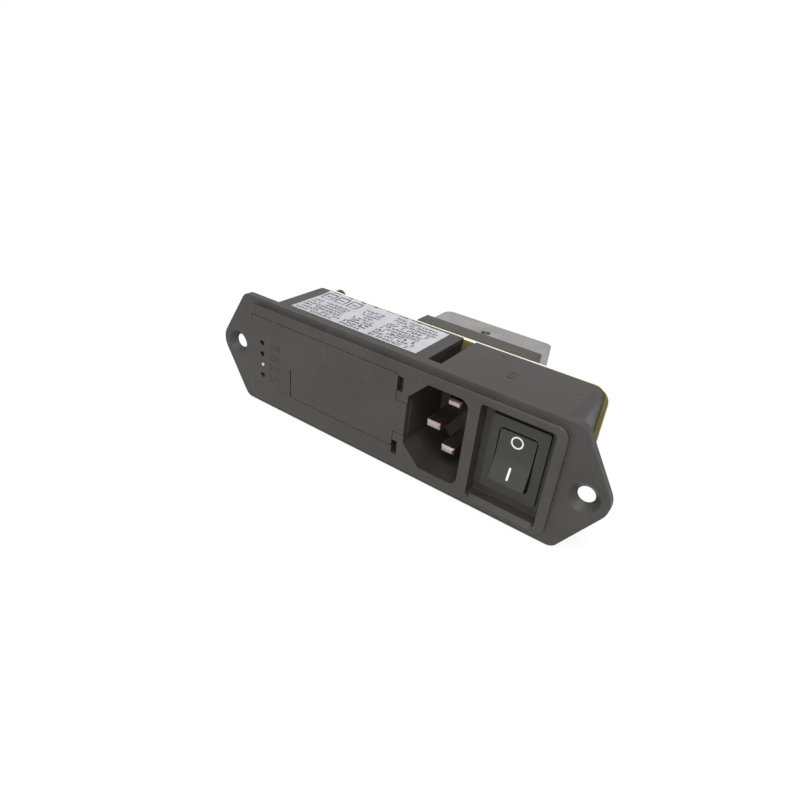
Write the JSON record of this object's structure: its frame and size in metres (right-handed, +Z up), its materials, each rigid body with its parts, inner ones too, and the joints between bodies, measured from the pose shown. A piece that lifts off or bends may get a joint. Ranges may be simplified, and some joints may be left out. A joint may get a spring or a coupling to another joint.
{
  "type": "filtered mains inlet module",
  "caption": "Panel-mounted mains inlet with a pull-out fuse and voltage cover, a recessed rocker switch, a circuit board and a rear filter can.",
  "frame": {"origin": "middle of the two panel screw holes, on the flange's back face, which seats against the panel", "axes": "+X along the flange's long side towards the switch, +Z up along its short side, -Y out of the front"},
  "size_m": [0.122, 0.0437, 0.034],
  "materials": {
    "moulded_black": "satin",
    "switch_black": "satin",
    "white_plastic": "satin",
    "bright_steel": "bright",
    "nickel": "bright",
    "tinned_brass": "bright",
    "can_metal": "satin",
    "clear_glass": "clear",
    "board_laminate": "satin",
    "label_film": "matt"
  },
  "bodies": {
    "base": {"housing": "moulded_black", "circuit_board": "board_laminate", "filter_base": "moulded_black", "filter_can": "can_metal", "line_pin": "nickel", "neutral_pin": "nickel", "earth_pin": "nickel", "fuse_contacts": "tinned_brass", "card_contacts": "tinned_brass", "selector_card": "board_laminate", "indicator_pin": "white_plastic", "switch_body": "switch_black", "switch_terminals": "tinned_brass", "output_tabs": "tinned_brass", "rating_label": "label_film"},
    "fuse_drawer": {"cover": "moulded_black", "fuse_block": "moulded_black", "block_screw": "bright_steel", "fuse_tube_upper": "clear_glass", "fuse_caps_upper": "nickel", "fuse_tube_lower": "clear_glass", "fuse_caps_lower": "nickel"},
    "switch_rocker": {"rocker": "switch_black", "switch_plungers": "white_plastic"},
    "switch_contact": {"switch_blades": "tinned_brass"}
  },
  "joints": [
    {"name": "cover_pull", "type": "slide", "parent": "base", "child": "fuse_drawer", "axis": [0, -1, 0], "range_m": [0, 0.018]},
    {"name": "rocker_tilt", "type": "hinge", "parent": "base", "child": "switch_rocker", "pos_m": [0.0371, 0.0021, 0], "axis": [1, 0, 0], "range_deg": [0, 18]},
    {"name": "blade_tilt", "type": "hinge", "parent": "base", "child": "switch_contact", "pos_m": [0.0371, 0.0088, 0], "axis": [1, 0, 0], "range_deg": [-12.1, 0]}
  ],
  "couplings": [
    {"joint": "blade_tilt", "follows": "rocker_tilt", "ratio": -0.6667}
  ]
}
